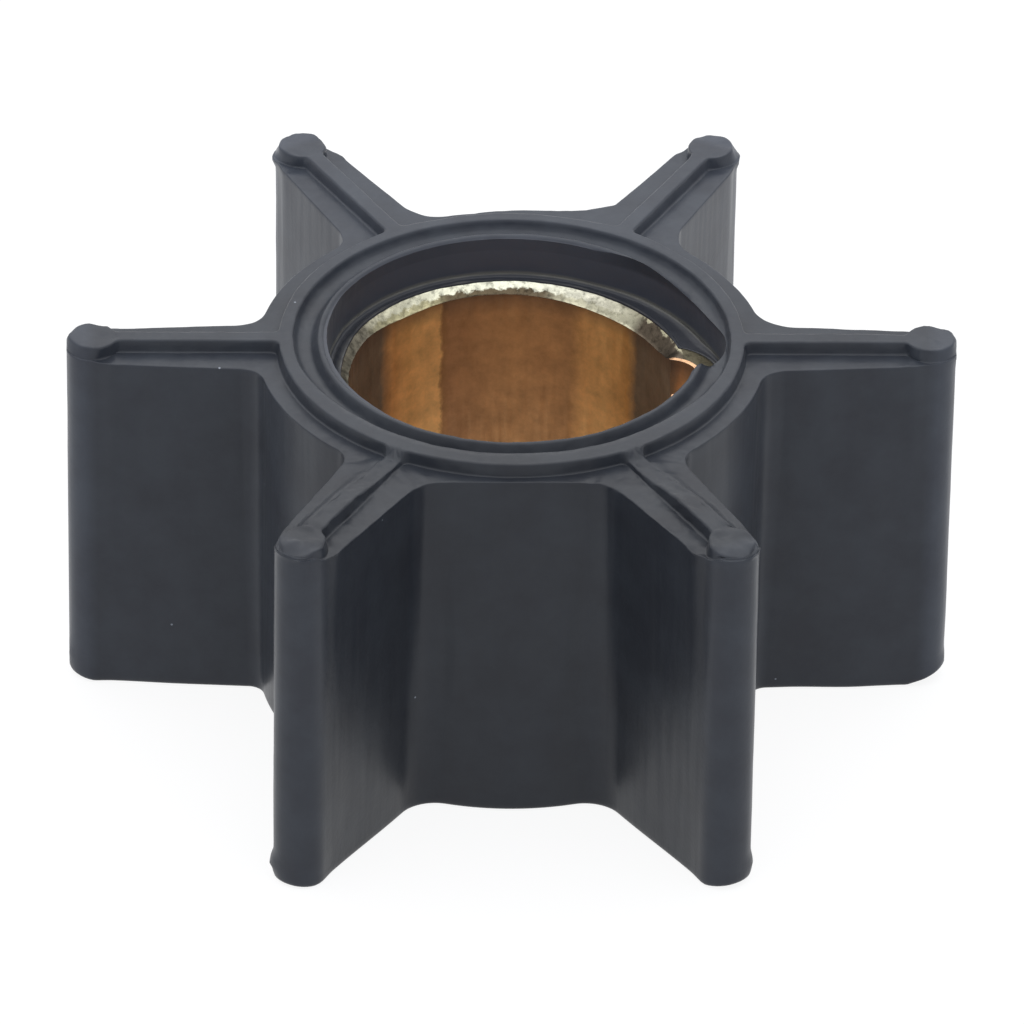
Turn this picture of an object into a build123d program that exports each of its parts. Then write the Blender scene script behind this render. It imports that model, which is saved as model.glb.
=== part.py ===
from build123d import *
import os

# Six-vane pump impeller: a moulded rubber body bonded round a thin brass drive bush.
# Millimetres, +Z up. The origin is on the shaft axis, in the flat underside. Vane 1 and the keyway point to +X.

# Body and vanes
vane_count = 6
tip_radius = 28.5            # axis to vane tip
vane_tip_thickness = 3.5     # across the vane at its tip
vane_root_thickness = 5.0    # across the vane where it meets the hub wall
tip_round = 1.65             # corners of the tip, seen from above
root_fillet = 2.2            # between vane flank and hub wall
body_height = 24.85          # underside to the flat shoulder of the vanes and hub
lower_edge_round = 0.35
shoulder_edge_round = 0.2

# Sealing bead: one ring, a rib along each vane and a round pad at each tip, all at one height
bead_height = 0.85
ring_width = 1.0
groove_width = 1.35          # from the foot of the inner lip to the ring
shoulder_width = 1.1         # from the ring to the hub wall
rib_width = 1.25
pad_radius = 1.6
pad_to_tip = 0.1             # from the pad's outermost point to the vane tip
bead_corner_fillet = 0.35    # where a rib runs into its pad and into the ring
bead_edge_round = 0.16

# Inner lip round the hub mouth
lip_base_width = 0.65
lip_top_width = 0.3

# Brass drive bush with a round keyway, whose wall bulges out as a lobe
bore_radius = 10.5
bush_wall = 0.85
key_radius = 2.1             # round bottom of the keyway
key_centre_radius = 10.0     # axis to the keyway's own centre
key_wall = 1.3
lobe_fillet = 1.0            # between the lobe and the bush's round outside
lead_in = 0.7                # chamfer round the top of the bore, most of the bush wall
bush_edge_chamfer = 0.15     # the other edges of the bush

# Mouth of the hub above the bush, and the plain one below it
top_recess_depth = 3.0       # from the top of the lip to the rubber ledge
bottom_recess_depth = 1.0
ledge_width = 0.65           # rubber ledge round the bush
lobe_ledge_width = 0.3       # the same beyond the lobe
mouth_lobe_shift = 0.5       # how far the mouth's own lobe is centred inside the keyway's centre
bush_proud = 0.05            # how far the bush stands above the top ledge

total_height = body_height + bead_height
bush_outer_radius = bore_radius + bush_wall
lobe_radius = key_radius + key_wall
mouth_radius = bush_outer_radius + ledge_width
mouth_lobe_centre = key_centre_radius - mouth_lobe_shift
mouth_lobe_radius = lobe_radius + mouth_lobe_shift + lobe_ledge_width
ring_inner_radius = mouth_radius + lip_base_width + groove_width
ring_outer_radius = ring_inner_radius + ring_width
hub_radius = ring_outer_radius + shoulder_width
pad_centre_radius = tip_radius - pad_to_tip - pad_radius
top_ledge_height = total_height - top_recess_depth
bush_top = top_ledge_height + bush_proud
bush_bottom = bottom_recess_depth


def vane_outline():
    """Tapered vane along +X from inside the hub to the rounded tip."""
    run = tip_radius - hub_radius
    taper = (vane_root_thickness - vane_tip_thickness) / 2 / run
    start_radius = hub_radius / 2
    start_half = vane_root_thickness / 2 + taper * (hub_radius - start_radius)
    tip_half = vane_tip_thickness / 2
    points = [
        (start_radius, -start_half),
        (tip_radius, -tip_half),
        (tip_radius, tip_half),
        (start_radius, start_half),
    ]
    vane = make_face(Polyline(*points, close=True))
    return fillet(vane.vertices().group_by(Axis.X)[-1], tip_round)


def body_outline():
    outline = Circle(hub_radius) + PolarLocations(0, vane_count) * vane_outline()
    near_hub = [v for v in outline.vertices() if abs(Vector(v.X, v.Y).length - hub_radius) < tip_round / 2]
    return fillet(near_hub, root_fillet)


def lobed_circle(main_radius, lobe):
    """Circle about the axis with a round lobe at the keyway, blended by a fillet."""
    outline = Circle(main_radius) + Pos(key_centre_radius, 0) * Circle(lobe)
    return fillet(outline.vertices(), lobe_fillet)


def bead_outline():
    """Ring, ribs and pads as one flat outline."""
    rib_length = pad_centre_radius - ring_inner_radius
    rib = Pos(ring_inner_radius + rib_length / 2, 0) * Rectangle(rib_length, rib_width)
    pad = Pos(pad_centre_radius, 0) * Circle(pad_radius)
    arms = Sketch() + PolarLocations(0, vane_count) * (rib + pad)
    outline = Circle(ring_outer_radius) + arms
    corners = [v for v in outline.vertices() if Vector(v.X, v.Y).length < pad_centre_radius]
    outline = fillet(corners, bead_corner_fillet)
    return outline - Circle(ring_inner_radius)


def inner_lip():
    """Low ridge with a sloping outer side, round the hub mouth."""
    profile = Polyline(
        (mouth_radius, body_height - bead_height),
        (mouth_radius + lip_base_width, body_height - bead_height),
        (mouth_radius + lip_base_width, body_height),
        (mouth_radius + lip_top_width, total_height),
        (mouth_radius, total_height),
        close=True,
    )
    return revolve(make_face(Plane.XZ * profile), Axis.Z)


def make_rubber_impeller():
    body = extrude(body_outline(), body_height)
    body = fillet(body.edges().group_by(Axis.Z)[-1], shoulder_edge_round)
    body = fillet(body.edges().group_by(Axis.Z)[0], lower_edge_round)

    bead = extrude(Pos(0, 0, body_height) * bead_outline(), bead_height)
    bead = fillet(bead.edges().group_by(Axis.Z)[-1], bead_edge_round)
    body = body + bead + inner_lip()

    mouth = Circle(mouth_radius) + Pos(mouth_lobe_centre, 0) * Circle(mouth_lobe_radius)
    seat = lobed_circle(bush_outer_radius, lobe_radius)
    body = body - extrude(Pos(0, 0, top_ledge_height) * mouth, top_recess_depth)
    body = body - extrude(mouth, bottom_recess_depth)
    body = body - extrude(seat, top_ledge_height)
    return body


def make_brass_bush():
    outside = lobed_circle(bush_outer_radius, lobe_radius)
    inside = Circle(bore_radius) + Pos(key_centre_radius, 0) * Circle(key_radius)
    bush = extrude(Pos(0, 0, bush_bottom) * (outside - inside), bush_top - bush_bottom)
    top_edges = bush.faces().sort_by(Axis.Z)[-1].inner_wires().edges()
    bush = chamfer(top_edges, lead_in)
    return chamfer(bush.edges().group_by(Axis.Z)[0], bush_edge_chamfer)


parts = {
    "rubber_impeller": make_rubber_impeller(),
    "brass_bush": make_brass_bush(),
}

os.makedirs("parts", exist_ok=True)
for name, part in parts.items():
    export_step(part, f"parts/{name}.step")
    print(name, "solids", len(part.solids()), "volume", round(part.volume, 1))
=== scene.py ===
from math import asin, atan, atan2, cos, degrees, exp, pi, radians, sin, sqrt

import bmesh
import bpy
from mathutils import Matrix, Vector, noise


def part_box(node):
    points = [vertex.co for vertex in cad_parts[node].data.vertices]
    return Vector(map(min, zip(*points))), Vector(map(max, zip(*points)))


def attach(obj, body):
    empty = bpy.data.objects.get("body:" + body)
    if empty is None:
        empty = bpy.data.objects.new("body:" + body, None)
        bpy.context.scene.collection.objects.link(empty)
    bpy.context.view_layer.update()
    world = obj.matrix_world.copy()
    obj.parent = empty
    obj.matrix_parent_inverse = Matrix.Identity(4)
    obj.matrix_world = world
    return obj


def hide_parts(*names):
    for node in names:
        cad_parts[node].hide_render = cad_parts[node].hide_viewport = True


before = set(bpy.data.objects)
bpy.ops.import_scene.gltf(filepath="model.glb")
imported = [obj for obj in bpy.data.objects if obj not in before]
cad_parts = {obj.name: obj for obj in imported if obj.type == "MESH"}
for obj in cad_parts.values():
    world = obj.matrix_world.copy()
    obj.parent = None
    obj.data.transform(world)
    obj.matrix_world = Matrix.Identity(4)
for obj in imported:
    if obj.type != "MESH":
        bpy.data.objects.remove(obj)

print("start: pump impeller, a rubber moulding on a brass drive bush")

mm = 0.001
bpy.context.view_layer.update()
lowCorner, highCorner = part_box("rubber_impeller")
totalHeight = highCorner.z / mm
tipReach = highCorner.x / mm
axisPoint = Vector((0, 0))


def linear(hexColour):
    # sRGB hex to the linear values that the nodes take
    parts = [int(hexColour[i:i + 2], 16) / 255 for i in (1, 3, 5)]
    return [c / 12.92 if c <= 0.04045 else ((c + 0.055) / 1.055) ** 2.4 for c in parts] + [1.0]


def addNode(tree, kind, settings, sockets):
    # a socket gets a value, or a link where the value is another node's output
    node = tree.nodes.new("ShaderNode" + kind)
    for key, value in settings.items():
        if key == "stops":
            while len(node.color_ramp.elements) < len(value):
                node.color_ramp.elements.new(0.5)
            for element, (place, colour) in zip(node.color_ramp.elements, value):
                element.position = place
                element.color = linear(colour)
        else:
            setattr(node, key, value)
    for key, value in sockets.items():
        if isinstance(value, bpy.types.NodeSocket):
            tree.links.new(value, node.inputs[key])
        else:
            node.inputs[key].default_value = value
    return node


def newMaterial(name):
    material = bpy.data.materials.new(name)
    material.use_nodes = True
    material.node_tree.nodes.clear()
    return material, material.node_tree


def steps(start, end, count):
    # the points after start, which the caller already has
    return [start + (end - start) * k / count for k in range(1, count + 1)]


def arc(centre, radius, start, end, count):
    return [centre + radius * Vector((cos(a), sin(a))) for a in steps(start, end, count)]


def hump(distance, width):
    return exp(-(distance / width) ** 2)


def curve(stops, azimuth):
    # smooth value all the way round, from a few {degrees: value} stops
    turns = sorted(stops)
    azimuth = (azimuth - turns[0]) % 360 + turns[0]
    k = max(i for i, turn in enumerate(turns) if turn <= azimuth)
    before, here, after, beyond = [stops[turns[(k + n) % len(turns)]] for n in (-1, 0, 1, 2)]
    span = (turns[(k + 1) % len(turns)] - turns[k]) % 360
    t = (azimuth - turns[k]) / span
    bend = 2 * before - 5 * here + 4 * after - beyond
    return here + 0.5 * t * (after - before + t * (bend + t * (3 * (here - after) + beyond - before)))


def grain(point, size, seed):
    # soft noise from -1 to 1 whose lumps are about this many mm across
    return noise.noise(Vector(point) / size + Vector((seed, 2.7 * seed, -1.3 * seed)))


# The rubber moulding. One half of one vane is laid out as stations, mirrored and turned six times round.
rubber = {
    "vanes": 6,
    "tipHalf": 1.75,          # half of the vane's thickness at its pad
    "taper": 0.06,            # gain of that half per mm towards the hub
    "tipRound": 1.65,
    "hubRadius": 16.1,
    # fillets between vane and hub, pocket by pocket from the one after the keyway's vane
    "footFillets": (1.5, 3.0, 2.2, 1.2, 2.6, 1.2),
    "shoulderFillets": (3.2, 3.0, 2.3, 2.0, 2.8, 2.2),
    "beadRootFillet": 2.2,    # the one that the bead's points keep in step with
    "shoulderHeight": 24.85,
    "lowerRound": 0.3,
    "underLap": 0.4,          # how far inside the foot's edge the underside's middle row is laid
    "shoulderRound": 0.08,
    "padCentre": 26.8,
    "padRadius": 1.6,
    "ribHalf": 0.66,
    "beadFillet": 0.45,
    "footRound": 0.12,
    "wallDraft": 0.1,
    "topRound": 0.17,
    "ringOuter": 15.0,
    "ringTopInner": 14.12,
    "recessUnder": 12.0,      # plain recess round the bush, underneath
    "recessUnderDepth": 1.0,
    "seatRadius": 11.35,
    "ledgeDrop": 3.0,         # from the top of the lip to the ledge round the bush
    # rows of the mesh up the walls: close ones over the foot, even ones, and close ones under the shoulder
    "footRows": (0.6, 1.0, 1.5, 2.0),
    "flankSpan": (2.4, 1.2),  # mm above the foot, and mm below the shoulder
    "flankRows": 20,
    "shoulderRows": (0.8, 0.5, 0.3),
}
beadHeight = totalHeight - rubber["shoulderHeight"]
ringTopInner = rubber["ringTopInner"]


def flank(x):
    return rubber["tipHalf"] + rubber["taper"] * (rubber["padCentre"] - x)


lean = atan(rubber["taper"])
tipX = tipReach - rubber["tipRound"]
tipCentre = Vector((tipX, flank(tipX) - rubber["tipRound"] / cos(lean)))
padCentre = Vector((rubber["padCentre"], 0))
neckHeight = rubber["ribHalf"] + rubber["beadFillet"]
neckX = padCentre.x - sqrt((rubber["padRadius"] + rubber["beadFillet"]) ** 2 - neckHeight ** 2)
neckAngle = pi - asin(neckHeight / (rubber["padRadius"] + rubber["beadFillet"]))
crotchAngle = asin(neckHeight / (rubber["ringOuter"] + rubber["beadFillet"]))
crotchX = (rubber["ringOuter"] + rubber["beadFillet"]) * cos(crotchAngle)
halfSector = pi / rubber["vanes"]


def rootCorner(fillet):
    # centre of the fillet between vane and hub, its angle from the vane, and where it leaves the flank
    rise, reach = flank(0) + fillet / cos(lean), rubber["hubRadius"] + fillet
    slope, square = rise * rubber["taper"], 1 + rubber["taper"] ** 2
    x = (slope + sqrt(slope ** 2 - square * (rise ** 2 - reach ** 2))) / square
    centre = Vector((x, rise - rubber["taper"] * x))
    return centre, atan2(centre.y, centre.x), x - fillet * sin(lean)


rootAngle, rootStart = rootCorner(rubber["beadRootFillet"])[1:]


def bodyLine(fillet):
    # outline of the vane and hub, from the tip's middle to the middle of the pocket
    corner, angle, start = rootCorner(fillet)
    line = [Vector((tipReach, 0)), Vector((tipReach, tipCentre.y))]
    line += arc(tipCentre, rubber["tipRound"], 0, pi / 2 - lean, 8)
    line += [Vector((x, flank(x))) for x in steps(line[-1].x, neckX, 9)]
    line += [Vector((x, flank(x))) for x in steps(neckX, start, 26)]
    line += arc(corner, fillet, 1.5 * pi - lean, pi + angle, 26)
    return line + arc(axisPoint, rubber["hubRadius"], angle, halfSector, 20)


def beadLine():
    # outline of the pad, rib and ring, station for station with the body's
    line = [Vector((padCentre.x + rubber["padRadius"], 0))]
    line += arc(padCentre, rubber["padRadius"], 0, pi / 2, 9)
    line += arc(padCentre, rubber["padRadius"], pi / 2, neckAngle, 5)
    line += arc(Vector((neckX, neckHeight)), rubber["beadFillet"], neckAngle - pi, -pi / 2, 4)
    line += [Vector((x, rubber["ribHalf"])) for x in steps(neckX, rootStart, 26)]
    line += [Vector((x, rubber["ribHalf"])) for x in steps(rootStart, crotchX, 8)]
    line += arc(Vector((crotchX, neckHeight)), rubber["beadFillet"], -pi / 2, crotchAngle - pi, 4)
    line += arc(axisPoint, rubber["ringOuter"], crotchAngle, rootAngle, 14)
    return line + arc(axisPoint, rubber["ringOuter"], rootAngle, halfSector, 20)


def spineLine(innerRadius):
    # where the faces from both sides of a vane meet, and then the inner edge of the ring
    line = [padCentre] * 10
    line += [Vector((point.x, 0)) for point in beadLine()[10:45]]
    line += [Vector((x, 0)) for x in steps(rootStart, rubber["ringOuter"], 8)]
    line += [Vector((x, 0)) for x in steps(rubber["ringOuter"], innerRadius, 4)]
    line += arc(axisPoint, innerRadius, 0, rootAngle, 14)
    return line + arc(axisPoint, innerRadius, rootAngle, halfSector, 20)


def around(lines):
    # half vanes, one for each pocket, mirrored and turned into one closed row
    row = []
    for k, line in enumerate(lines):
        here, after = Matrix.Rotation(2 * k * halfSector, 2), Matrix.Rotation(2 * (k + 1) * halfSector, 2)
        row += [here @ p for p in line[:-1]]
        row += [after @ Vector((p.x, -p.y)) for p in line[:0:-1]]
    return row


def raised(row, height):
    return [Vector((p.x, p.y, height)) for p in row]


def towards(row, goal, distance):
    # each point moved a set distance to its partner, but never past 45% of the way
    moved = []
    for p, q in zip(row, goal):
        gap = (q - p).length
        moved.append(p.lerp(q, min(distance / max(gap, 1e-6), 0.45)))
    return moved


def shrink(row, goal, size):
    # how much of a round of this size has room between the two outlines
    return [min(size, 0.45 * (q - p).length) / size for p, q in zip(row, goal)]


def inset(row, distance):
    moved = []
    for i, p in enumerate(row):
        along = (row[(i + 1) % len(row)] - row[i - 1]).normalized()
        moved.append(p - distance * Vector((along.y, -along.x)))
    return moved


def ramp(value, start, end):
    t = min(max((value - start) / (end - start), 0), 1)
    return t * t * (3 - 2 * t)


# Extra rubber at the back of the shoulder, as points along its edge, and the heights where it begins and is whole
web = {
    "edge": ((-2.9, 15.9), (-1.9, 16.28), (-0.8, 16.42), (0.3, 16.5), (1.9, 16.54),
             (3.1, 16.5), (4.1, 16.53), (5.1, 16.64), (6.1, 16.9), (7.05, 17.22)),
    "heights": (17.0, 24.0),
}
# How the walls leave the plain outline, in mm, and between which places each change begins and is whole
walls = {
    "vaneFoot": -0.1,           # on each side of a vane
    "vaneShoulder": 0.3,
    "hubFoot": 0.2,             # what the foot gains towards the hub
    "hubShoulder": -0.08,
    "behindPad": (27.3, 25.6),  # these three are mm from the axis
    "nearHub": (26, 18),
    "onHub": (17.2, 16.4),
    "front": (16.2, 15.6),      # the hub's front wall is flat, this far from the axis at its foot and its shoulder
    "frontEnds": (6.4, 3.6),    # mm to either side
    "footLean": (0.1, 0.36),    # how far the feet of the left and the right vane stand towards -Y
    "leaning": (18, 23),        # mm to either side
}


def webReach(x):
    # how far back the web reaches at this x, or nothing beyond its ends
    for (x0, y0), (x1, y1) in zip(web["edge"], web["edge"][1:]):
        if x0 <= x <= x1:
            return y0 + (y1 - y0) * (x - x0) / (x1 - x0)
    return 0


def wallAt(foot, shoulder, height):
    # outline of vanes and hub at this height: the mould's draft, the web, and feet that lean to the front
    share = height / rubber["shoulderHeight"]
    row = [p.lerp(q, share) for p, q in zip(foot, shoulder)]
    moved = []
    for i, p in enumerate(row):
        along = (row[(i + 1) % len(row)] - row[i - 1]).normalized()
        behindPad = ramp(p.length, *walls["behindPad"])
        low = walls["vaneFoot"] * behindPad + walls["hubFoot"] * ramp(p.length, *walls["nearHub"])
        high = walls["vaneShoulder"] * behindPad + walls["hubShoulder"] * ramp(p.length, *walls["onHub"])
        q = p + (low + (high - low) * share) * Vector((along.y, -along.x))
        if q.y > 0:
            q.y += max(webReach(q.x) - q.y, 0) * ramp(height, *web["heights"])
        if q.y < 0:
            atFoot, atShoulder = walls["front"]
            wall = -atFoot + (atFoot - atShoulder) * share
            q.y += max(wall - q.y, 0) * ramp(abs(q.x), *walls["frontEnds"])
        q.y -= walls["footLean"][int(q.x > 0)] * ramp(abs(q.x), *walls["leaning"]) * (1 - share)
        moved.append(q)
    return moved


def extrudeRow(bm, edges, places, column):
    # one more row of faces, whose new points go to their column's place
    made = bmesh.ops.extrude_edge_only(bm, edges=edges)["geom"]
    for v in made:
        if isinstance(v, bmesh.types.BMVert):
            v.co = places[v[column]]
    return [e for e in made if isinstance(e, bmesh.types.BMEdge)]


quarterTurn = [radians(turn) for turn in (0, 30, 60, 90)]


def outerRows():
    # every row from the underside up the walls and over the bead to the ring's inner edge
    foot = around([bodyLine(fillet) for fillet in rubber["footFillets"]])
    shoulder = around([bodyLine(fillet) for fillet in rubber["shoulderFillets"]])
    lines = beadLine(), spineLine(ringTopInner), spineLine(rubber["recessUnder"])
    bead, spine, under = [around([line] * rubber["vanes"]) for line in lines]
    top = rubber["shoulderHeight"]
    rows = [raised([p.lerp(q, 0.5) for p, q in zip(under, inset(foot, rubber["underLap"]))], 0)]
    size = rubber["lowerRound"]
    edge = wallAt(foot, shoulder, 0)
    for a in quarterTurn:
        rows.append(raised(inset(edge, size * (1 - sin(a))), size * (1 - cos(a))))
    low, high = rubber["flankSpan"][0], top - rubber["flankSpan"][1]
    heights = list(rubber["footRows"])
    heights += [low + (high - low) * k / rubber["flankRows"] for k in range(rubber["flankRows"] + 1)]
    heights += [top - below for below in rubber["shoulderRows"]]
    for height in heights:
        rows.append(raised(wallAt(foot, shoulder, height), height))
    body = wallAt(foot, shoulder, top)
    size = rubber["shoulderRound"]
    room = shrink(body, bead, size)
    for a in quarterTurn:
        edge = towards(body, bead, size * (1 - cos(a)))
        rows.append([Vector((p.x, p.y, top - s * size * (1 - sin(a)))) for p, s in zip(edge, room)])
    shoulder = towards(body, bead, size)
    size = rubber["footRound"]
    foot = towards(bead, body, size)
    for share in (0.06, 0.25, 0.5, 0.75, 0.94):
        rows.append(raised([p.lerp(q, share) for p, q in zip(shoulder, foot)], top))
    room = shrink(bead, body, size)
    for a in quarterTurn:
        edge = towards(bead, body, size * (1 - sin(a)))
        rows.append([Vector((p.x, p.y, top + s * size * (1 - cos(a)))) for p, s in zip(edge, room)])
    draft, size = rubber["wallDraft"], rubber["topRound"]
    upper = beadHeight - size
    rows.append(raised(towards(bead, spine, draft / 2), top + (rubber["footRound"] + upper) / 2))
    for a in quarterTurn:
        edge = towards(bead, spine, draft + size * (1 - cos(a)))
        rows.append(raised(edge, top + upper + size * sin(a)))
    crown = towards(bead, spine, draft + size)
    for share in (0.08, 0.33, 0.67, 1.0):
        rows.append(raised([p.lerp(q, share) for p, q in zip(crown, spine)], totalHeight))
    return raised(under, 0), rows


# The mouth of the hub, as radius and drop below the top, from the ring's inner edge to the ledge
mouthProfile = [
    (14.07, 0.02), (14.02, 0.06), (13.98, 0.13), (13.94, 0.26), (13.88, 0.42), (13.79, 0.57), (13.66, 0.68),
    (13.48, 0.76), (13.25, 0.79), (13.0, 0.78), (12.86, 0.74), (12.75, 0.64), (12.65, 0.49), (12.54, 0.31),
    (12.46, 0.16), (12.4, 0.08), (12.3, 0.04), (12.2, 0.06), (12.12, 0.11), (12.06, 0.19),
]
mouthWall = [0.03, 0.12, 0.35, 0.7, 1.1, 1.5, 1.9, 2.3, 2.6, 2.82]
mouth = {
    # radius of the recess edge by degrees from the keyway: cut short on one side of it, a long blend on the other
    "lobe": {-20: 12.02, -16.5: 12.05, -12: 12.6, -7.4: 13.2, -4: 13.55, 0: 13.72, 5: 13.68, 10.7: 13.4,
             15.5: 13.15, 22: 12.95, 30: 12.75, 38: 12.57, 46: 12.4, 54: 12.2, 62: 12.04, 70: 12.02,
             150: 12.02, 175: 11.86, 200: 11.8, 220: 11.84, 242: 11.96, 262: 12.02, 330: 12.02},
    "frontRing": 0.5,          # how much wider the ring's top is at the front
    "widening": (12.7, 13.9),  # the radii between which the profile takes that up
    "wallDraft": 0.05,
    "wallFoot": 0.06,          # how far the wall's foot stands inside the recess edge
    "ledgeFillet": 0.27,
    "ledgeSlope": 0.03,
    "skinWidth": 0.2,          # of the ledge that belongs to the skin over the brass
    "skinHeight": 0.1,
    # thin skin of rubber that covers the outer edge of the brass
    "skin": {0: 0.08, 60: 0.1, 120: 0.1, 148: 0.2, 168: 0.42, 200: 0.42, 240: 0.25, 300: 0.1},
}


def turned(azimuth):
    # degrees from -180 to 180
    return (azimuth + 180) % 360 - 180


def mouthRadius(azimuth):
    return curve(mouth["lobe"], azimuth)


def profileDrop(radius):
    # how far the top lies below the ring at this radius
    before = (ringTopInner, 0.0)
    for here in mouthProfile:
        if radius >= here[0]:
            share = (radius - here[0]) / max(before[0] - here[0], 1e-6)
            return here[1] + share * (before[1] - here[1])
        before = here
    return before[1]


def seatRadius(azimuth):
    # outside of the bush along this direction, with its keyway lobe
    off = radians(turned(azimuth))
    side = brass["keyCentre"] * sin(off)
    radius = rubber["seatRadius"]
    if abs(off) < 1.0 and abs(side) < brass["lobeRadius"]:
        radius = max(radius, brass["keyCentre"] * cos(off) + sqrt(brass["lobeRadius"] ** 2 - side ** 2))
    return radius


def mouthRows(azimuth):
    # every point of the mouth in this direction, as radius and height
    edge = mouthRadius(azimuth)
    points = []
    front = ramp(-sin(radians(azimuth)), 0.1, 0.85)
    for radius, drop in mouthProfile:
        r = max(radius - mouth["frontRing"] * front * ramp(radius, *mouth["widening"]), edge)
        points.append((r, totalHeight - (drop if radius >= edge else profileDrop(r))))
    rim = totalHeight - points[-1][1]
    for drop in mouthWall:
        share = drop / rubber["ledgeDrop"]
        points.append((edge - mouth["wallDraft"] * share, totalHeight - rim - (rubber["ledgeDrop"] - rim) * share))
    seat = seatRadius(azimuth)
    ledge = totalHeight - rubber["ledgeDrop"]
    inner = seat - curve(mouth["skin"], azimuth)
    wallFoot = edge - mouth["wallFoot"]
    gap = wallFoot - seat
    flat = gap - min(mouth["skinWidth"], 0.6 * gap)
    for share in (0.1, 0.25, 0.45, 0.7, 1.0):
        rise = mouth["ledgeFillet"] * max(0, 1 - share / 0.3) - mouth["ledgeSlope"] * share
        points.append((wallFoot - flat * share, ledge + rise))
    crest = ledge + mouth["skinHeight"]
    points += [(seat + min(0.1, 0.3 * gap), ledge + 0.06), (inner + min(0.16, seat - inner + 0.15 * gap), crest)]
    points += [(inner + 0.08, crest), (inner + 0.03, ledge + 0.09), (inner, ledge + 0.02)]
    points += [(seat, ledge - 0.35), (seat, ledge - 0.8), (seat, rubber["recessUnderDepth"])]
    points.append((max(rubber["recessUnder"], seat + 0.05), rubber["recessUnderDepth"]))
    points.append((rubber["recessUnder"], 0.0))
    return points


# The brass bush
brass = {
    "boreRadius": 10.5,
    "wall": 0.85,
    "keyRadius": 2.1,
    "keyCentre": 10.0,
    "lobeRadius": 3.4,
    "lobeFillet": 1.0,
    "top": 22.75,
    "bottom": 1.0,
    # depth of the hand cut chamfer round the bore, in mm by degrees; there is hardly any at the keyway
    "rimDepth": {-13: 0.1, 0: 0.08, 12: 0.1, 16: 0.55, 25: 0.9, 52: 0.9, 75: 0.65, 90: 0.53,
                 110: 0.57, 130: 0.76, 150: 0.45, 165: 0.5, 230: 0.6, 300: 0.5, 342: 0.5},
    "burr": 0.05,
    "lowerEdge": 0.12,
}


def makeRubber():
    bm = bmesh.new()
    start, rows = outerRows()
    bmesh.ops.create_circle(bm, segments=len(start), radius=1)
    bm.verts.ensure_lookup_table()
    column = bm.verts.layers.int.new("column")
    loop = sorted(bm.verts, key=lambda v: atan2(v.co.y, v.co.x) % (2 * pi))
    for i, v in enumerate(loop):
        v[column] = i
    for v in bm.verts:
        v.co = start[v[column]]
    edges = list(bm.edges)
    for row in rows:
        edges = extrudeRow(bm, edges, row, column)
    bmesh.ops.remove_doubles(bm, verts=bm.verts, dist=0.002)
    edges = [e for e in bm.edges if e.is_boundary and e.verts[0].co.z > 20]
    depth = len(mouthRows(0))
    for k in range(depth):
        made = bmesh.ops.extrude_edge_only(bm, edges=edges)["geom"]
        for v in made:
            if isinstance(v, bmesh.types.BMVert):
                a = atan2(v.co.y, v.co.x)
                r, z = mouthRows(degrees(a))[k]
                v.co = Vector((r * cos(a), r * sin(a), z))
        edges = [e for e in made if isinstance(e, bmesh.types.BMEdge)]
    bmesh.ops.remove_doubles(bm, verts=bm.verts, dist=0.004)
    bmesh.ops.recalc_face_normals(bm, faces=bm.faces)
    return bm


# Moulding flash: where it stands, which way it points, and how wide and tall it is, in mm
flash = [
    {"at": (-28.4, 0.1, 1.5), "push": (-0.3, 0.0, 0.0), "wide": 0.9, "tall": 0.8},
    {"at": (28.4, -0.2, 0.9), "push": (0.2, 0.0, 0.0), "wide": 0.9, "tall": 0.6},
    {"at": (-15.1, -23.2, 1.1), "push": (-0.28, -0.03, 0.0), "wide": 0.9, "tall": 0.5},
    {"at": (15.1, -23.2, 1.1), "push": (0.2, 0.0, 0.0), "wide": 0.9, "tall": 0.7},
    {"at": (-28.4, 0.5, 25.2), "push": (-0.25, 0.0, 0.0), "wide": 1.0, "tall": 0.35},
    {"at": (28.4, 0.0, 25.1), "push": (0.28, 0.0, 0.0), "wide": 1.4, "tall": 0.7},
    {"at": (-15.1, -23.2, 25.3), "push": (-0.08, 0.0, 0.0), "wide": 1.0, "tall": 0.35},
    {"at": (15.2, -23.4, 25.3), "push": (0.14, 0.0, 0.0), "wide": 0.9, "tall": 0.5},
    {"at": (-15.0, 23.2, 24.75), "push": (-0.26, 0.0, 0.0), "wide": 1.1, "tall": 0.5},
    {"at": (15.0, 23.2, 24.75), "push": (0.2, 0.0, 0.0), "wide": 1.1, "tall": 0.5},
]


# The feet of four tips are cut off at a slant: how far out it begins, and how high it is at the end, in mm
tipFeet = {180: (26.9, 0.3), 0: (26.1, 1.0), 300: (27.2, 0.3), 240: (27.6, 0.12)}
slantFades = 2.4              # mm above the foot

# The front vanes, with the side that faces outwards: their ribs are worn low by the ring and merge with that side
frontVanes = {240: -1, 300: 1}
# How they are worn: heights in mm, and the places along or across the vane between which each begins and is whole
frontWear = {
    "reach": (15, 3.2),       # from here outwards, and this far to either side
    "ribLoss": 0.66,          # share of the rib's height that is gone
    "lossByRing": (15.0, 15.35),
    "lossOutwards": (22.5, 16.5),
    "ribSide": (1.9, 1.3),
    "bankByRing": (15.0, 16.2),
    "bankSide": (1.75, 0.6),
    "bankOutwards": (27.0, 25.6),
    "tipRise": 0.38,
    "tipAlong": (26.9, 27.8),
    "chamfer": 0.42,
    "chamferAlong": (27.3, 28.3),
}


def frontPlace(p):
    # where a point lies on the nearer front vane, with the outer side as +Y, or None away from both
    for azimuth, outer in frontVanes.items():
        local = Matrix.Rotation(radians(-azimuth), 2) @ Vector((p.x, p.y))
        if local.x > frontWear["reach"][0] and abs(local.y) < frontWear["reach"][1]:
            return Vector((local.x, local.y * outer))
    return None


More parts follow.
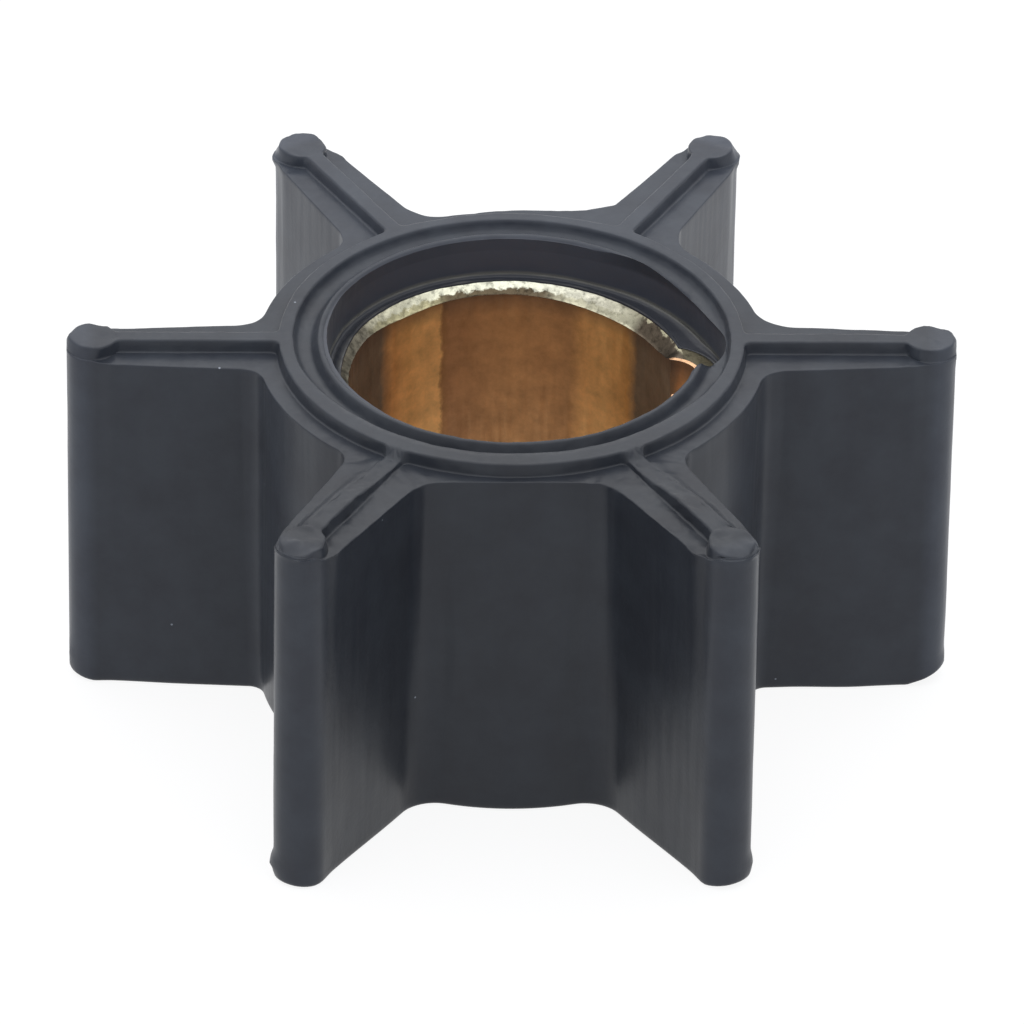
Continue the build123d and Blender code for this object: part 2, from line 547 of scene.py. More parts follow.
def footRise(p, radius):
    # how far a point near the foot of a tip is lifted
    turn = degrees(atan2(p.y, p.x)) % 360
    for azimuth, (start, rise) in tipFeet.items():
        if abs(turned(turn - azimuth)) < 15 and radius > start and p.z < slantFades:
            return rise * (radius - start) / (tipReach - start) * (1 - p.z / slantFades)
    return 0


def topShift(p):
    # how far a point of the bead or shoulder of a front vane is lowered or raised
    local = frontPlace(p)
    if local is None:
        return 0
    aboveShoulder = p.z - rubber["shoulderHeight"]
    onBead = max(aboveShoulder, 0)
    worn = frontWear["ribLoss"] * ramp(local.x, *frontWear["lossByRing"])
    worn *= ramp(local.x, *frontWear["lossOutwards"])
    lowered = -onBead * worn * ramp(abs(local.y), *frontWear["ribSide"])
    ribLeft = beadHeight * (1 - worn) * ramp(local.x, *frontWear["bankByRing"])
    bank = max(ribLeft - onBead * (1 - worn), 0) * ramp(local.y, *frontWear["bankSide"])
    bank *= ramp(aboveShoulder, -0.1, -0.02) * ramp(local.x, *frontWear["bankOutwards"])
    tipTop = frontWear["tipRise"] * ramp(local.x, *frontWear["tipAlong"])
    tipTop *= ramp(aboveShoulder, -1.0, -0.05) * ramp(aboveShoulder, 0.8, 0.1)
    chamfer = frontWear["chamfer"] * ramp(local.x, *frontWear["chamferAlong"]) * ramp(aboveShoulder, 0.45, 0.8)
    return lowered + (bank if local.y > 0 else 0) + tipTop - chamfer


# The waves and lumps of the rubber's skin, each as its height and width in mm and its seed
skin = {
    "everywhere": ((0.035, 4.5, 1.0), (0.012, 1.4, 2.0)),
    "drawLines": ((0.005, 0.75, 3.0),),
    "drawn": 18,              # how many times longer than wide those lines are
    "bead": ((0.035, 1.5, 4.0), (0.022, 0.6, 5.0)),
    "frontRib": ((0.1, 0.9, 6.0), (0.07, 0.45, 7.0)),
    "pad": ((0.13, 1.0, 8.0), (0.08, 0.5, 9.0)),
    "mouth": ((0.03, 1.3, 10.0), (0.02, 0.5, 11.0)),
    "frontPad": ((0.16, 0.7, 13.0),),
    "frontPadDrop": 0.12,
    "flash": ((0.5, 0.4, 12.0),),
}
# Where each kind of skin begins and is whole, as mm above the underside, from the axis, or to the front
skinZones = {
    "beadHeight": (24.7, 24.95),
    "beadRadius": (13.6, 13.9),
    "padRadius": (24.8, 25.4),
    "mouthRadius": (14.0, 13.7),
    "mouthHeight": (22.2, 22.5),
    "seatHeight": (22.5, 22.2),   # below the ledge the rubber is bonded to the brass and stays true
    "seatRadius": (14.2, 13.9),
    "ribRadius": (15.4, 16.5),
    "ribFront": (8, 12),
    "padFront": 12,
    "footHeight": (0.05, 0.6),    # the underside stays flat
}


def lumps(point, waves):
    return sum(height * grain(point, width, seed) for height, width, seed in waves)


def roughen(bm):
    # the uneven skin of a worn mould: long waves on the walls, lumps and frayed edges on the bead, and flash
    bm.normal_update()
    low, high = lowCorner / mm, highCorner / mm
    moves = []
    for v in bm.verts:
        p = v.co
        radius = Vector((p.x, p.y)).length
        onTop = ramp(p.z, *skinZones["beadHeight"]) * ramp(radius, *skinZones["beadRadius"])
        onPad = onTop * ramp(radius, *skinZones["padRadius"])
        inMouth = ramp(radius, *skinZones["mouthRadius"]) * ramp(p.z, *skinZones["mouthHeight"])
        hidden = ramp(p.z, *skinZones["seatHeight"]) * ramp(radius, *skinZones["seatRadius"])
        frontRib = onTop * ramp(radius, *skinZones["ribRadius"]) * ramp(-p.y, *skinZones["ribFront"]) * (1 - onPad)
        amount = lumps(p, skin["everywhere"])
        amount += (1 - onTop) * lumps((p.x, p.y, p.z / skin["drawn"]), skin["drawLines"])
        for share, kind in ((onTop, "bead"), (frontRib, "frontRib"), (onPad, "pad"), (inMouth, "mouth")):
            amount += share * lumps(p, skin[kind])
        amount *= ramp(p.z, *skinZones["footHeight"]) * (1 - hidden)
        push = Vector((0, 0, footRise(p, radius) + topShift(p)))
        if p.y < -skinZones["padFront"]:
            push.z -= onPad * (skin["frontPadDrop"] + lumps(p, skin["frontPad"]))
        for fin in flash:
            away = p - Vector(fin["at"])
            if abs(away.z) < 3 * fin["tall"]:
                share = hump(Vector((away.x, away.y)).length, fin["wide"]) * hump(away.z, fin["tall"])
                push += share * (1 + lumps(p, skin["flash"])) * Vector(fin["push"])
        moves.append(v.normal * amount + push)
    for v, move in zip(bm.verts, moves):
        p = v.co + move
        v.co = Vector([min(max(c, a), b) for c, a, b in zip(p, low, high)])


# Tool marks on the brass, each as its height and width in mm and its seed
toolMarks = {
    "rim": ((0.045, 0.9, 20.0), (0.035, 0.4, 21.0)),
    "chatter": ((0.02, 1.0, 22.0),),
    "chatterStep": 1.6,       # degrees
    "bore": ((0.01, 1.2, 23.0),),
    "calm": 0.35,             # what is left of the rim's marks on both sides of the keyway
    "calmEnds": (36, 46),     # degrees
    # the rim, by how steeply it faces up, by its height and by its radius in mm
    "facing": (0.15, 0.4),
    "height": (21.4, 21.7),
    "radius": (11.34, 11.15),
}


def hammer(bm):
    # the chamfer is uneven and chattered, the bore nearly smooth
    bm.normal_update()
    moves = []
    for v in bm.verts:
        p = v.co
        turn, radius = degrees(atan2(p.y, p.x)), Vector((p.x, p.y)).length
        onRim = ramp(v.normal.z, *toolMarks["facing"]) * ramp(p.z, *toolMarks["height"])
        onRim *= ramp(radius, *toolMarks["radius"])
        onRim *= toolMarks["calm"] + (1 - toolMarks["calm"]) * ramp(abs(turn), *toolMarks["calmEnds"])
        amount = onRim * lumps(p, toolMarks["rim"])
        amount += onRim * lumps((turn / toolMarks["chatterStep"], 0, radius / 2.5), toolMarks["chatter"])
        amount += (1 - onRim) * lumps((p.x, p.y, p.z / 8), toolMarks["bore"]) * ramp(p.z, 1.2, 2.0)
        moves.append(v.normal * amount)
    for v, move in zip(bm.verts, moves):
        v.co += move


def finishPiece(bm, name, sharpAngle):
    # millimetres to metres, sharp edges by angle, and a new object at the origin
    for face in bm.faces:
        face.smooth = True
    for edge in bm.edges:
        if len(edge.link_faces) == 2 and edge.calc_face_angle() > radians(sharpAngle):
            edge.smooth = False
    bmesh.ops.scale(bm, vec=(mm, mm, mm), verts=bm.verts)
    mesh = bpy.data.meshes.new(name)
    bm.to_mesh(mesh)
    bm.free()
    piece = bpy.data.objects.new(name, mesh)
    bpy.context.scene.collection.objects.link(piece)
    return piece


bm = makeRubber()
roughen(bm)
print("rubber: open edges", sum(e.is_boundary for e in bm.edges), "faces", len(bm.faces))
impeller = finishPiece(bm, "mouldedImpeller", 42)


def brassHalf():
    # pairs of points on the bush's outside and inside, from the keyway's middle to the far side
    keyMiddle = Vector((brass["keyCentre"], 0))
    bore, outer = brass["boreRadius"], brass["boreRadius"] + brass["wall"]
    cornerX = (bore ** 2 + keyMiddle.x ** 2 - brass["keyRadius"] ** 2) / (2 * keyMiddle.x)
    corner = Vector((cornerX, sqrt(bore ** 2 - cornerX ** 2)))
    far, near = outer + brass["lobeFillet"], brass["lobeRadius"] + brass["lobeFillet"]
    filletX = (far ** 2 + keyMiddle.x ** 2 - near ** 2) / (2 * keyMiddle.x)
    fillet = Vector((filletX, sqrt(far ** 2 - filletX ** 2)))
    blend = atan2(fillet.y, fillet.x)
    lobeEnd = atan2(fillet.y, fillet.x - keyMiddle.x)
    outside = [keyMiddle + Vector((brass["lobeRadius"], 0))]
    outside += arc(keyMiddle, brass["lobeRadius"], 0, lobeEnd, 16)
    outside += arc(fillet, brass["lobeFillet"], lobeEnd + pi, 2 * pi - (pi - blend), 6)
    outside += arc(axisPoint, outer, blend, pi, 190)
    inside = [keyMiddle + Vector((brass["keyRadius"], 0))]
    inside += arc(keyMiddle, brass["keyRadius"], 0, atan2(corner.y, corner.x - keyMiddle.x), 16)
    inside += arc(axisPoint, bore, atan2(corner.y, corner.x), blend, 6)
    inside += arc(axisPoint, bore, blend, pi, 190)
    return outside, inside


def mirrored(line):
    return line + [Vector((p.x, -p.y)) for p in line[-2:0:-1]]


def makeBrass():
    outside, inside = [mirrored(line) for line in brassHalf()]
    depth = [curve(brass["rimDepth"], degrees(atan2(p.y, p.x))) for p in inside]
    end = brass["bottom"] + brass["lowerEdge"]
    rows = [raised(outside, end)]
    rows.append(raised(outside, brass["top"] - 1.0))
    rows.append(raised(outside, brass["top"] - 0.06))
    rows.append(raised(inset(outside, 0.02), brass["top"] - 0.01))
    for share in (0.06, 0.14, 0.24, 0.34, 0.45, 0.56, 0.67, 0.78, 0.88, 0.95, 1.0):
        row = [p.lerp(q, share) for p, q in zip(outside, inside)]
        rows.append([Vector((p.x, p.y, brass["top"] - d * share)) for p, d in zip(row, depth)])
    rows[-1] = [Vector((p.x, p.y, q.z)) for p, q in zip(inset(inside, brass["burr"]), rows[-1])]
    for share in (0.003, 0.008, 0.02, 0.04, 0.07, 0.1, 0.15, 0.2, 0.26, 0.33, 0.41, 0.5, 0.6, 0.7, 0.8, 0.9, 1.0):
        starts = [brass["top"] - d for d in depth]
        rows.append([Vector((p.x, p.y, start + (end - start) * share)) for p, start in zip(inside, starts)])
    rows.append(raised([p.lerp(q, 0.15) for p, q in zip(inside, outside)], brass["bottom"]))
    start = raised([p.lerp(q, 0.85) for p, q in zip(inside, outside)], brass["bottom"])
    bm = bmesh.new()
    bmesh.ops.create_circle(bm, segments=len(start), radius=1)
    column = bm.verts.layers.int.new("column")
    for i, v in enumerate(sorted(bm.verts, key=lambda v: atan2(v.co.y, v.co.x) % (2 * pi))):
        v[column] = i
    for v in bm.verts:
        v.co = start[v[column]]
    first = list(bm.edges)
    edges = first
    for row in rows:
        edges = extrudeRow(bm, edges, row, column)
    bmesh.ops.bridge_loops(bm, edges=edges + first)
    bmesh.ops.recalc_face_normals(bm, faces=bm.faces)
    return bm


bm = makeBrass()
hammer(bm)
for face in bm.faces:
    face.material_index = int(face.normal.z > 0.3 and face.calc_center_median().z > 21.4)
print("brass: open edges", sum(e.is_boundary for e in bm.edges), "faces", len(bm.faces))
bush = finishPiece(bm, "brassBush", 30)

noiseLow, noiseHigh = 0.3, 0.7  # the range that a noise texture mostly stays in

# Moulded nitrile rubber: a dull blue black, whose sheen is broken by mould grain, flow marks and specks of dust;
# painted light makes it paler at the back, the tips and the recess wall, and painted shade makes it darker at the
# front
rubberFinish = {
    "dark": "#2d3037",
    "pale": "#34383f",
    "recessFillLight": "#3f424a",        # painted fill light: a paler grey on the wall of the recess in the hub
    "ledge": "#2e3036",
    "ledgeHighlight": "#5c5b57",    # painted highlight on the corner between that wall and the ledge
    "speck": "#8f959e",
    # the recess in m: where it begins inside the lip and in its wide part at the keyway, and its heights
    "insideLip": (0.01225, 0.0119),
    "insideWidePart": (0.0140, 0.0138),
    "underLip": (0.0249, 0.0246),
    "aboveBush": 0.022,
    "ledgeToWall": (0.0226, 0.0232),
    # how much paler or darker painted light and shade make the rubber between two places:
    # along Y (1) at the back and at the front, and outwards (2) at the tips, in m
    "paintedLightByPlace": ((1, 0.006, 0.014, 1.0, 1.4), (1, -0.016, -0.007, 0.76, 1.07), (2, 0.0266, 0.0274, 1.0, 1.45)),
    "roughness": (0.29, 0.4),
    "specular": 0.29,          # a film of dirt keeps it below clean rubber's 0.5
    "sheen": 0.03,
    "flowMark": 3.5,           # mm between the mottles
    "drawMark": 0.5,           # mm between the marks of the mould's walls, which run up and down
    "mouldGrain": 0.28,        # mm, drawn coarser than the real 0.05 mm so that it shows
    "relief": ((0.25, 0.06), (0.3, 0.012), (0.35, 0.02)),  # strength and mm of these three
    "speckSpacing": 2.6,
    "speckSize": 0.07,
    "speckless": 0.6,          # share of the places that have no speck
}


def perMm(size):
    # texture scale on coordinates in metres whose pattern repeats about every so many mm
    return 1 / (size * mm)


satinRubber, tree = newMaterial("satinMouldedNitrileRubber")
place = addNode(tree, "TexCoord", {}, {}).outputs["Object"]
mottle = addNode(tree, "TexNoise", {}, {
    "Vector": place, "Scale": perMm(rubberFinish["flowMark"]), "Detail": 4.0, "Roughness": 0.6})
drawn = addNode(tree, "Mapping", {}, {"Vector": place, "Scale": (1.0, 1.0, 0.06)})
streak = addNode(tree, "TexNoise", {}, {
    "Vector": drawn.outputs[0], "Scale": perMm(rubberFinish["drawMark"]), "Detail": 3.0})
fine = addNode(tree, "TexNoise", {}, {"Vector": place, "Scale": perMm(rubberFinish["mouldGrain"]), "Detail": 3.0})
spread = addNode(tree, "MapRange", {}, {0: mottle.outputs[0], 1: 0.35, 2: 0.65})
tone = addNode(tree, "Mix", {"data_type": "RGBA"}, {
    0: spread.outputs[0], 6: linear(rubberFinish["dark"]), 7: linear(rubberFinish["pale"])})
split = addNode(tree, "SeparateXYZ", {}, {0: place})
flat = addNode(tree, "CombineXYZ", {}, {0: split.outputs[0], 1: split.outputs[1]})
fromAxis = addNode(tree, "VectorMath", {"operation": "LENGTH"}, {0: flat.outputs[0]})
zones = []
for key, value in (("insideLip", fromAxis.outputs["Value"]), ("insideWidePart", fromAxis.outputs["Value"]),
                   ("underLip", split.outputs[2]), ("ledgeToWall", split.outputs[2])):
    start, whole = rubberFinish[key]
    zones.append(addNode(tree, "MapRange", {}, {0: value, 1: start, 2: whole}).outputs[0])
insideLip, insideWidePart, underLip, aboveLedge = zones
aboveBush = addNode(tree, "Math", {"operation": "GREATER_THAN"}, {
    0: split.outputs[2], 1: rubberFinish["aboveBush"]})
inRecess = addNode(tree, "Math", {"operation": "MULTIPLY"}, {0: insideWidePart, 1: underLip})
inRecess = addNode(tree, "Math", {"operation": "MULTIPLY"}, {0: inRecess.outputs[0], 1: aboveBush.outputs[0]})
inRecess = addNode(tree, "Math", {"operation": "MAXIMUM"}, {0: inRecess.outputs[0], 1: insideLip})
# painted fill light on the recess wall, with a painted highlight where it meets the ledge
recessLightStops = [(0.3, rubberFinish["ledge"]), (0.44, rubberFinish["ledgeHighlight"]),
               (0.55, rubberFinish["ledgeHighlight"]), (0.85, rubberFinish["recessFillLight"])]
recessPaintedLight = addNode(tree, "ValToRGB", {"stops": recessLightStops}, {0: aboveLedge})
tone = addNode(tree, "Mix", {"data_type": "RGBA"}, {
    0: inRecess.outputs[0], 6: tone.outputs[2], 7: recessPaintedLight.outputs[0]})
# painted light and shade: paler at the back and at the tips, darker at the front
for source, start, whole, low, high in rubberFinish["paintedLightByPlace"]:
    value = {1: split.outputs[1], 2: fromAxis.outputs["Value"]}[source]
    placeLight = addNode(tree, "MapRange", {}, {0: value, 1: start, 2: whole, 3: low, 4: high})
    tone = addNode(tree, "Mix", {"data_type": "RGBA", "blend_type": "MULTIPLY"}, {
        0: 1.0, 6: tone.outputs[2], 7: placeLight.outputs[0]})
cells = addNode(tree, "TexVoronoi", {}, {"Vector": place, "Scale": perMm(rubberFinish["speckSpacing"])})
speckShare = rubberFinish["speckSize"] / rubberFinish["speckSpacing"]
dot = addNode(tree, "Math", {"operation": "LESS_THAN"}, {0: cells.outputs["Distance"], 1: speckShare})
chance = addNode(tree, "SeparateXYZ", {}, {0: cells.outputs["Color"]})
lucky = addNode(tree, "Math", {"operation": "GREATER_THAN"}, {0: chance.outputs[0], 1: rubberFinish["speckless"]})
speck = addNode(tree, "Math", {"operation": "MULTIPLY"}, {0: dot.outputs[0], 1: lucky.outputs[0]})
tone = addNode(tree, "Mix", {"data_type": "RGBA"}, {
    0: speck.outputs[0], 6: tone.outputs[2], 7: linear(rubberFinish["speck"])})
low, high = rubberFinish["roughness"]
dull = addNode(tree, "MapRange", {}, {0: streak.outputs[0], 1: noiseLow, 2: noiseHigh, 3: low, 4: high})
normal = {}
for texture, (strength, deep) in zip((mottle, streak, fine), rubberFinish["relief"]):
    relief = addNode(tree, "Bump", {}, {
        "Height": texture.outputs[0], "Strength": strength, "Distance": deep * mm, **normal})
    normal = {"Normal": relief.outputs[0]}
shader = addNode(tree, "BsdfPrincipled", {}, {
    "Base Color": tone.outputs[2], "Roughness": dull.outputs[0], "IOR": 1.5,
    "Specular IOR Level": rubberFinish["specular"], "Sheen Weight": rubberFinish["sheen"],
    "Sheen Roughness": 0.4, **normal})
addNode(tree, "OutputMaterial", {}, {"Surface": shader.outputs[0]})
print("rubber finish done")

# Brass bore: drawn brass, tarnished brown, with painted reflections as brighter orange bands and painted shade just
# under the rim
boreFinish = {
    # degrees from the keyway, the same on both halves: painted reflections, the bright bands and the darker ones
    # between
    "paintedReflectionBands": [(0, "#d5a06c"), (9, "#d5a06c"), (12, "#877a68"), (38, "#837562"), (43, "#dba967"), (54, "#efb974"),
              (62, "#e6ae6c"), (68, "#bb8c5c"), (90, "#bc8e5e"), (112, "#ac7f56"), (114.3, "#a4794d"),
              (115.2, "#efba76"), (128, "#efb974"), (136, "#d9a468"), (142, "#7c6e5d"), (180, "#746556")],
    "wander": 2.2,             # mm between the bends in the bands' edges
    "wanderReach": 0.008,      # of half a turn
    "cloud": 1.5,              # mm between the clouds of tarnish
    "cloudTone": (0.75, 1.2),
    # painted shade: a darker brown on the bore just under the rim
    "rimShadow": "#5d4a3e",
    "rimShadowHeight": (0.0207, 0.0222),  # m
    "rimShadowShare": 0.7,
    "scratch": 0.35,           # mm between the drawing marks, coarser than the real 0.1 mm
    "relief": ((0.3, 0.02), (0.3, 0.05)),  # strength and mm of the scratches and the clouds
    "roughness": (0.38, 0.55),
    "metallic": 0.6,           # the tarnish covers part of the metal
}


def turnAround(tree, place):
    # 0 at the keyway to 1 on the far side, the same on both halves, from the object's own coordinates
    split = addNode(tree, "SeparateXYZ", {}, {0: place})
    side = addNode(tree, "Math", {"operation": "ABSOLUTE"}, {0: split.outputs[1]})
    turn = addNode(tree, "Math", {"operation": "ARCTAN2"}, {0: side.outputs[0], 1: split.outputs[0]})
    return addNode(tree, "Math", {"operation": "DIVIDE"}, {0: turn.outputs[0], 1: pi}).outputs[0]


boreBrass, tree = newMaterial("boreBrassTarnishAndPaintedReflections")
place = addNode(tree, "TexCoord", {}, {}).outputs["Object"]
turn = turnAround(tree, place)
wander = addNode(tree, "TexNoise", {}, {
    "Vector": place, "Scale": perMm(boreFinish["wander"]), "Detail": 5.0, "Roughness": 0.65})
reach = boreFinish["wanderReach"]
shift = addNode(tree, "MapRange", {}, {0: wander.outputs[0], 1: noiseLow, 2: noiseHigh, 3: -reach, 4: reach})
turn = addNode(tree, "Math", {"operation": "ADD"}, {0: turn, 1: shift.outputs[0]})
# painted reflections: bright and dark bands by azimuth round the bore
paintedReflectionBands = addNode(tree, "ValToRGB", {"stops": [(a / 180, c) for a, c in boreFinish["paintedReflectionBands"]]}, {0: turn.outputs[0]})
cloud = addNode(tree, "TexNoise", {}, {
    "Vector": place, "Scale": perMm(boreFinish["cloud"]), "Detail": 6.0, "Roughness": 0.7})
low, high = boreFinish["cloudTone"]
cloudy = addNode(tree, "MapRange", {}, {0: cloud.outputs[0], 1: noiseLow, 2: noiseHigh, 3: low, 4: high})
tone = addNode(tree, "Mix", {"data_type": "RGBA", "blend_type": "MULTIPLY"}, {
    0: 1.0, 6: paintedReflectionBands.outputs[0], 7: cloudy.outputs[0]})
split = addNode(tree, "SeparateXYZ", {}, {0: place})
# painted shade just under the rim
low, high = boreFinish["rimShadowHeight"]
near = addNode(tree, "MapRange", {}, {0: split.outputs[2], 1: low, 2: high, 3: 0.0, 4: boreFinish["rimShadowShare"]})
tone = addNode(tree, "Mix", {"data_type": "RGBA"}, {
    0: near.outputs[0], 6: tone.outputs[2], 7: linear(boreFinish["rimShadow"])})
drawn = addNode(tree, "Mapping", {}, {"Vector": place, "Scale": (1.0, 1.0, 0.08)})
scratch = addNode(tree, "TexNoise", {}, {
    "Vector": drawn.outputs[0], "Scale": perMm(boreFinish["scratch"]), "Detail": 3.0})
low, high = boreFinish["roughness"]
dull = addNode(tree, "MapRange", {}, {0: scratch.outputs[0], 1: noiseLow, 2: noiseHigh, 3: low, 4: high})
normal = {}
for texture, (strength, deep) in zip((scratch, cloud), boreFinish["relief"]):
    relief = addNode(tree, "Bump", {}, {
        "Height": texture.outputs[0], "Strength": strength, "Distance": deep * mm, **normal})
    normal = {"Normal": relief.outputs[0]}
shader = addNode(tree, "BsdfPrincipled", {}, {
    "Base Color": tone.outputs[2], "Metallic": boreFinish["metallic"], "Roughness": dull.outputs[0], **normal})
addNode(tree, "OutputMaterial", {}, {"Surface": shader.outputs[0]})
print("bore finish done")

# Cut brass rim: greenish yellow to olive by azimuth, whose bright stops are painted highlights where the lamp's
# reflection falls on the chamfer
rimFinish = {
    # degrees from the keyway on both sides, on the rim's outer band and on its worn inner edge; the bright stops
    # are painted highlights
    "outer": [(0, "#4a4638"), (13, "#4f4a3d"), (16, "#c4bea2"), (37, "#c4bea2"), (41, "#a5a18c"), (50, "#bcb9a6"),
              (62, "#c4c2b2"), (88, "#cacaba"), (112, "#c8c8b5"), (140, "#aeab96"), (150, "#5c584e"),
              (180, "#504c41")],
    "inner": [(0, "#5a5146"), (38, "#5a5146"), (43, "#aeab96"), (68, "#aeab96"), (78, "#544b3d"), (112, "#564d3d"),
              (120, "#a09b7c"), (140, "#969175"), (150, "#5c584e"), (180, "#504c41")],
    "lobe": "#5b5646",
    "innerEdge": (0.01076, 0.01088),  # m from the axis, where the inner edge ends and the outer band begins
    "rag": 0.7,                       # mm between the bends of that line
    "ragReach": 0.00018,              # m
    "burrShift": (38, 46, 0.00046),   # degrees where the bright part narrows to a burr, and by how many m
    "lobeEdge": 0.01142,              # m
    "keyEdgeGlint": "#e2b48c",             # painted glint along the keyway's edge
    "keyEdgeGlintWidth": 0.22,             # mm
    "pit": 0.45,                      # mm between the pits that the tool has torn
    "pitRange": (0.32, 0.5),
    "pitTone": (0.5, 1.0),
    "relief": (0.5, 0.06),            # strength and mm
    "roughness": (0.25, 0.5),
}
cutBrass, tree = newMaterial("cutBrassRimPaintedHighlights")
place = addNode(tree, "TexCoord", {}, {}).outputs["Object"]
turn = turnAround(tree, place)
# painted highlights: the rim's colour rises and falls by azimuth
tones = []
for key in ("outer", "inner"):
    stops = [(a / 180, c) for a, c in rimFinish[key]]
    tones.append(addNode(tree, "ValToRGB", {"stops": stops}, {0: turn}).outputs[0])
outer, inner = tones
split = addNode(tree, "SeparateXYZ", {}, {0: place})
flat = addNode(tree, "CombineXYZ", {}, {0: split.outputs[0], 1: split.outputs[1]})
fromAxis = addNode(tree, "VectorMath", {"operation": "LENGTH"}, {0: flat.outputs[0]}).outputs["Value"]
rag = addNode(tree, "TexNoise", {}, {
    "Vector": place, "Scale": perMm(rimFinish["rag"]), "Detail": 4.0, "Roughness": 0.7})
reach = rimFinish["ragReach"]
ragged = addNode(tree, "MapRange", {}, {0: rag.outputs[0], 1: noiseLow, 2: noiseHigh, 3: -reach, 4: reach})
broken = addNode(tree, "Math", {"operation": "ADD"}, {0: fromAxis, 1: ragged.outputs[0]})
start, end, shift = rimFinish["burrShift"]
narrow = addNode(tree, "MapRange", {}, {0: turn, 1: start / 180, 2: end / 180, 3: shift, 4: 0.0})
broken = addNode(tree, "Math", {"operation": "SUBTRACT"}, {0: broken.outputs[0], 1: narrow.outputs[0]})
nearEdge, farEdge = rimFinish["innerEdge"]
outward = addNode(tree, "MapRange", {}, {0: broken.outputs[0], 1: nearEdge, 2: farEdge})
tone = addNode(tree, "Mix", {"data_type": "RGBA"}, {0: outward.outputs[0], 6: inner, 7: outer})
# the lobe's top is a darker olive
onLobe = addNode(tree, "Math", {"operation": "GREATER_THAN"}, {0: fromAxis, 1: rimFinish["lobeEdge"]})
tone = addNode(tree, "Mix", {"data_type": "RGBA"}, {
    0: onLobe.outputs[0], 6: tone.outputs[2], 7: linear(rimFinish["lobe"])})
# painted glint: a pale band along the keyway's edge
keyMiddle = (brass["keyCentre"] * mm, 0, 0)
fromKey = addNode(tree, "VectorMath", {"operation": "DISTANCE"}, {0: flat.outputs[0], 1: keyMiddle})
keyGlint = addNode(tree, "Math", {"operation": "LESS_THAN"}, {
    0: fromKey.outputs["Value"], 1: (brass["keyRadius"] + rimFinish["keyEdgeGlintWidth"]) * mm})
tone = addNode(tree, "Mix", {"data_type": "RGBA"}, {
    0: keyGlint.outputs[0], 6: tone.outputs[2], 7: linear(rimFinish["keyEdgeGlint"])})
pit = addNode(tree, "TexNoise", {}, {
    "Vector": place, "Scale": perMm(rimFinish["pit"]), "Detail": 5.0, "Roughness": 0.7})
(low, high), (darkest, palest) = rimFinish["pitRange"], rimFinish["pitTone"]
pitted = addNode(tree, "MapRange", {}, {0: pit.outputs[0], 1: low, 2: high, 3: darkest, 4: palest})
tone = addNode(tree, "Mix", {"data_type": "RGBA", "blend_type": "MULTIPLY"}, {
    0: 1.0, 6: tone.outputs[2], 7: pitted.outputs[0]})
low, high = rimFinish["roughness"]
dull = addNode(tree, "MapRange", {}, {0: pit.outputs[0], 1: 0.35, 2: 0.65, 3: high, 4: low})
strength, deep = rimFinish["relief"]
relief = addNode(tree, "Bump", {}, {"Height": pit.outputs[0], "Strength": strength, "Distance": deep * mm})
shader = addNode(tree, "BsdfPrincipled", {}, {
    "Base Color": tone.outputs[2], "Metallic": 1.0, "Roughness": dull.outputs[0], "Normal": relief.outputs[0]})
addNode(tree, "OutputMaterial", {}, {"Surface": shader.outputs[0]})
print("rim finish done")

for piece, node, slot, finishes in (
    (impeller, "rubber_impeller", "black_rubber", [satinRubber]),
    (bush, "brass_bush", "brass", [boreBrass, cutBrass]),
):
    for finish in finishes:
        piece.data.materials.append(finish)
    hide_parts(node)
    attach(piece, "root")

# Stage: pale floor that is white to the camera, an even bright room and one broad soft lamp
stage = {
    "floorSize": 3.0,
    "floorColour": "#cfcfcf",  # as the object sees it
    "floorShade": 0.16,        # how much of the shadow the camera sees
    "floorGlow": 0.88,
    "roomLight": 0.8,
    "roomColour": "#f3f7ff",
    "lampPower": 8.5,
    "lampSize": 1.8,
    "lampPlace": (0.0, 0.25, 0.95),
}


def seenDirectly(tree):
    # 1 for rays from the camera and for those that metal or glass sends on
    path = addNode(tree, "LightPath", {}, {})
    seen = path.outputs["Is Camera Ray"]
    for ray in ("Is Glossy Ray", "Is Transmission Ray"):
        seen = addNode(tree, "Math", {"operation": "MAXIMUM"}, {0: seen, 1: path.outputs[ray]}).outputs[0]
    return seen


bm = bmesh.new()
bmesh.ops.create_grid(bm, x_segments=1, y_segments=1, size=stage["floorSize"])
mesh = bpy.data.meshes.new("floor")
bm.to_mesh(mesh)
bm.free()
floorPlane = bpy.data.objects.new("floor", mesh)
bpy.context.scene.collection.objects.link(floorPlane)
paleFloor, tree = newMaterial("palePaperFloor")
paper = addNode(tree, "BsdfDiffuse", {}, {"Color": linear(stage["floorColour"])})
shade = addNode(tree, "BsdfDiffuse", {}, {"Color": [stage["floorShade"]] * 3 + [1.0]})
glow = addNode(tree, "Emission", {}, {"Color": (1, 1, 1, 1), "Strength": stage["floorGlow"]})
white = addNode(tree, "AddShader", {}, {0: shade.outputs[0], 1: glow.outputs[0]})
both = addNode(tree, "MixShader", {}, {0: seenDirectly(tree), 1: paper.outputs[0], 2: white.outputs[0]})
addNode(tree, "OutputMaterial", {}, {"Surface": both.outputs[0]})
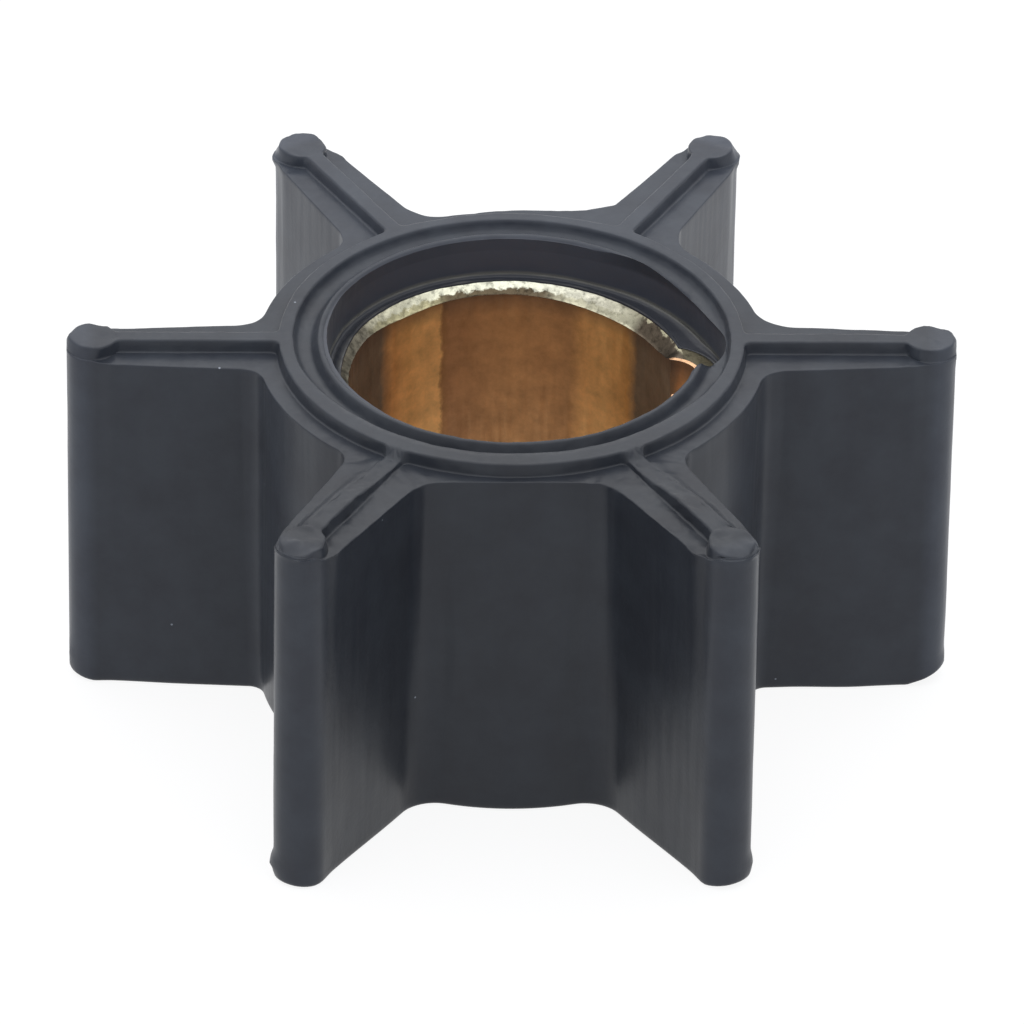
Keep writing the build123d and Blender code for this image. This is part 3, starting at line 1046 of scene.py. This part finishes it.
floorPlane.data.materials.append(paleFloor)

room = bpy.data.worlds.new("whiteRoom")
bpy.context.scene.world = room
room.use_nodes = True
tree = room.node_tree
tree.nodes.clear()
even = addNode(tree, "Background", {}, {"Color": linear(stage["roomColour"]), "Strength": stage["roomLight"]})
white = addNode(tree, "Background", {}, {"Color": (1, 1, 1, 1), "Strength": 1.0})
both = addNode(tree, "MixShader", {}, {0: seenDirectly(tree), 1: even.outputs[0], 2: white.outputs[0]})
addNode(tree, "OutputWorld", {}, {"Surface": both.outputs[0]})

lampData = bpy.data.lights.new("softBox", "AREA")
lampData.shape = "DISK"
lampData.size = stage["lampSize"]
lampData.energy = stage["lampPower"]
lamp = bpy.data.objects.new("softBox", lampData)
lamp.location = stage["lampPlace"]
lamp.rotation_euler = (Vector((0, 0, 0.01)) - lamp.location).to_track_quat("-Z", "Y").to_euler()
bpy.context.scene.collection.objects.link(lamp)

# Camera: a long lens, fitted to the outline of the object in the photograph
camera = {
    "distance": 742.28,      # mm, from the middle of the impeller
    "elevation": 33.7148,    # degrees, as the next two are
    "azimuth": -1.3,
    "roll": 0.9,
    "lens": 403.736,
    "shift": (0.00271, -0.00819),
}
az, el, roll = [radians(camera[key]) for key in ("azimuth", "elevation", "roll")]
back = Vector((sin(az) * cos(el), -cos(az) * cos(el), sin(el)))
right = Vector((cos(az), sin(az), 0))
up = back.cross(right)
across = cos(roll) * right + sin(roll) * up
upright = -sin(roll) * right + cos(roll) * up
cameraData = bpy.data.cameras.new("camera")
cameraData.lens = camera["lens"]
cameraData.sensor_width = 36
cameraData.shift_x, cameraData.shift_y = camera["shift"]
cameraData.clip_start = 0.01
eye = bpy.data.objects.new("camera", cameraData)
stand = (Vector((0, 0, totalHeight / 2)) + camera["distance"] * back) * mm
eye.matrix_world = Matrix.Translation(stand) @ Matrix((across, upright, back)).transposed().to_4x4()
bpy.context.scene.collection.objects.link(eye)
bpy.context.scene.camera = eye
bpy.context.scene.view_settings.view_transform = "Standard"
print("stage, lamp and camera done")
